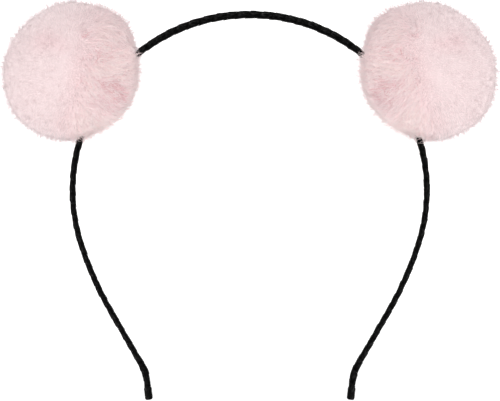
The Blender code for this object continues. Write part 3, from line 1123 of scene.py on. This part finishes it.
def make_coat(side, name, material):
    """One coat of a pompom's fur: strands gathered into wisps and combed with the flow."""
    coat = FUR_COATS[name]
    chance = np.random.default_rng(coat.seed + (side == RIGHT))
    tips = pick_tips(coat, chance)
    coarse = coarse_share(tips)
    wisp_places, wisp_tones, wisp_tilts = make_wisps(side)
    wisp = nearest_number(tips, wisp_places)
    tone = wisp_tones[wisp]
    tilt = wisp_tilts[wisp]
    roots, tips = comb_strands(coat, tips, coarse, wisp_places[wisp], tilt, chance)
    points = strand_points(coat, roots, tips, coarse, tone, chance)
    widths = strand_widths(coat, coarse, chance)
    placed = keep_off_band(side, to_plane(side, points.reshape(-1, 3)))
    strands = to_world(placed).reshape(points.shape)
    facing = surface_normals(side, tips, coarse, tilt)
    softness = (1.0 + SOFTNESS_COARSE * coarse)[:, None]
    tones = strand_tones(coat, roots, tips, coarse, tone, chance)
    shades = [ROOT_SHADE + ROOT_SHADE_COARSE * coarse, TIP_SHADE + TIP_SHADE_COARSE * coarse]
    pompom = "pompom_" + SIDE_NAMES[side]
    piece = strand_mesh(
        f"{pompom}_{name}", strands, widths, facing, softness, tones, shades, chance
    )
    finish_piece(piece, material, pompom)


def make_tunnel(side):
    """Room for the band and its tie through the backing of a pompom."""
    angle = np.arange(TUNNEL_POINTS) / TUNNEL_POINTS * math.tau
    reach = POMPOM_LENGTH * TUNNEL_REACH
    room = TIE_WIDTH / 2 + CLEARANCE
    narrow = RIBBON_THICKNESS + CLEARANCE
    wide = narrow + TIE_THICKNESS + CLEARANCE
    before = [(offset, narrow) for offset in np.linspace(-reach, -room, TUNNEL_RINGS)]
    after = [(offset, narrow) for offset in np.linspace(room, reach, TUNNEL_RINGS)]
    rings = []
    for offset, grow in before + [(-room, wide), (room, wide)] + after:
        along = np.full(TUNNEL_POINTS, side * (POMPOM_ALONG + offset))
        lift = np.full(TUNNEL_POINTS, grow)
        rings.append(band_points(along, angle, TIE_ROOM + TUNNEL_SPARE, BAND_DEPTH, lift))
    return make_loft("tunnel_" + SIDE_NAMES[side], np.array(rings))


def make_ball():
    """Mesh of a ball of radius 1, and the directions of its points."""
    shape = bmesh.new()
    bmesh.ops.create_icosphere(shape, subdivisions=BACKING_SUBDIVISIONS, radius=1.0)
    mesh = bpy.data.meshes.new("backing")
    shape.to_mesh(mesh)
    shape.free()
    directions = np.empty(len(mesh.vertices) * 3, np.float32)
    mesh.vertices.foreach_get("co", directions)
    return mesh, unit(directions.reshape(-1, 3).astype(float))


def carve(piece, tool):
    """Cuts the tool's shape out of a piece and deletes the tool."""
    cut = piece.modifiers.new("Tunnel", "BOOLEAN")
    cut.operation = "DIFFERENCE"
    cut.solver = "EXACT"
    cut.object = tool
    bpy.context.view_layer.update()
    evaluated = piece.evaluated_get(bpy.context.evaluated_depsgraph_get())
    carved = bpy.data.meshes.new_from_object(evaluated)
    piece.modifiers.clear()
    piece.data = carved
    bpy.data.objects.remove(tool)
    shape = bmesh.new()
    shape.from_mesh(carved)
    bmesh.ops.recalc_face_normals(shape, faces=shape.faces)
    shape.to_mesh(carved)
    shape.free()
    carved.shade_smooth()


def make_backing(side, material):
    """Soft round backing that the strands grow from, with a tunnel for the band; its colours are
    darker than the strands', as painted shade deep in the fur.
    """
    mesh, directions = make_ball()
    radius = body_level(directions)
    points = to_world(to_plane(side, directions * radius[:, None]))
    points[:, 2] = np.maximum(points[:, 2], FLOOR_GAP)
    tone = soft_tone(directions) - BACKING_PINK_AND_SHADE * pink_and_shade(directions)
    shade = BACKING_SHADE - BACKING_SHADE_COARSE * coarse_share(directions)
    shade -= BACKING_SHADE_VALLEY * valley_depth(directions)
    set_uv(mesh, "OFBake", np.clip(np.stack([tone, shade], -1), 0, 1))
    mesh.vertices.foreach_set("co", points.astype(np.float32).ravel())
    backing = bpy.data.objects.new(f"pompom_{SIDE_NAMES[side]}_backing", mesh)
    bpy.context.scene.collection.objects.link(backing)
    carve(backing, make_tunnel(side))
    finish_piece(backing, material, "pompom_" + SIDE_NAMES[side])


def dress_tie(side, material):
    """Gives the CAD solid of a tie, which stays as it is, a better material."""
    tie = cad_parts["pompom_tie_" + SIDE_NAMES[side]]
    tie.data.materials.clear()
    tie.data.materials.append(material)


# Camera, light and floor

def make_camera():
    """Camera square to the band's plane, framed as the picture."""
    data = bpy.data.cameras.new("Camera")
    data.sensor_width = SENSOR_WIDTH
    data.lens = SENSOR_WIDTH * CAMERA_DISTANCE / (IMAGE_WIDTH * PIXEL)
    data.clip_end = CAMERA_RANGE
    camera = bpy.data.objects.new("Camera", data)
    u = (IMAGE_WIDTH / 2 - AXIS_COLUMN) * PIXEL
    v = (TIPS_ROW - IMAGE_HEIGHT / 2) * PIXEL
    camera.matrix_world = PLANE @ Matrix.Translation((u, v, CAMERA_DISTANCE))
    bpy.context.scene.collection.objects.link(camera)
    bpy.context.scene.camera = camera


def make_area_light(name, energy, size, place):
    """Square soft light that points at the middle of the headband."""
    data = bpy.data.lights.new(name, "AREA")
    data.energy = energy
    data.size = size
    light = bpy.data.objects.new(name, data)
    light.location = place
    way = Vector(LIGHT_TARGET) - Vector(place)
    light.rotation_euler = way.to_track_quat("-Z", "Y").to_euler()
    bpy.context.scene.collection.objects.link(light)


def make_studio():
    """Even white light on a wide pale floor."""
    scene = bpy.context.scene
    scene.view_settings.view_transform = "Standard"
    world = bpy.data.worlds.new("Studio")
    scene.world = world
    world.use_nodes = True
    background = world.node_tree.nodes["Background"]
    background.inputs["Color"].default_value = (*WHITE, 1)
    background.inputs["Strength"].default_value = WORLD_STRENGTH
    for name, energy, size, place in LIGHTS:
        make_area_light(name, energy, size, place)
    bpy.ops.mesh.primitive_plane_add(size=FLOOR_SIZE)
    floor = bpy.context.object
    floor.name = "floor"
    floor.data.materials.append(floor_material())


# The whole scene


make_camera()
make_studio()
satin = satin_material()
fur = fur_material("Faux fur light pink", FUR_ROOT, FUR_MIDDLE, FUR_TIP)
base = fur_material("Faux fur base", BASE_ROOT, BASE_MIDDLE, BASE_TIP)
elastic = elastic_material()
make_band(satin)
for side in (LEFT, RIGHT):
    make_tip_fold(side, satin)
    make_backing(side, base)
    for coat in FUR_COATS:
        make_coat(side, coat, fur)
    dress_tie(side, elastic)
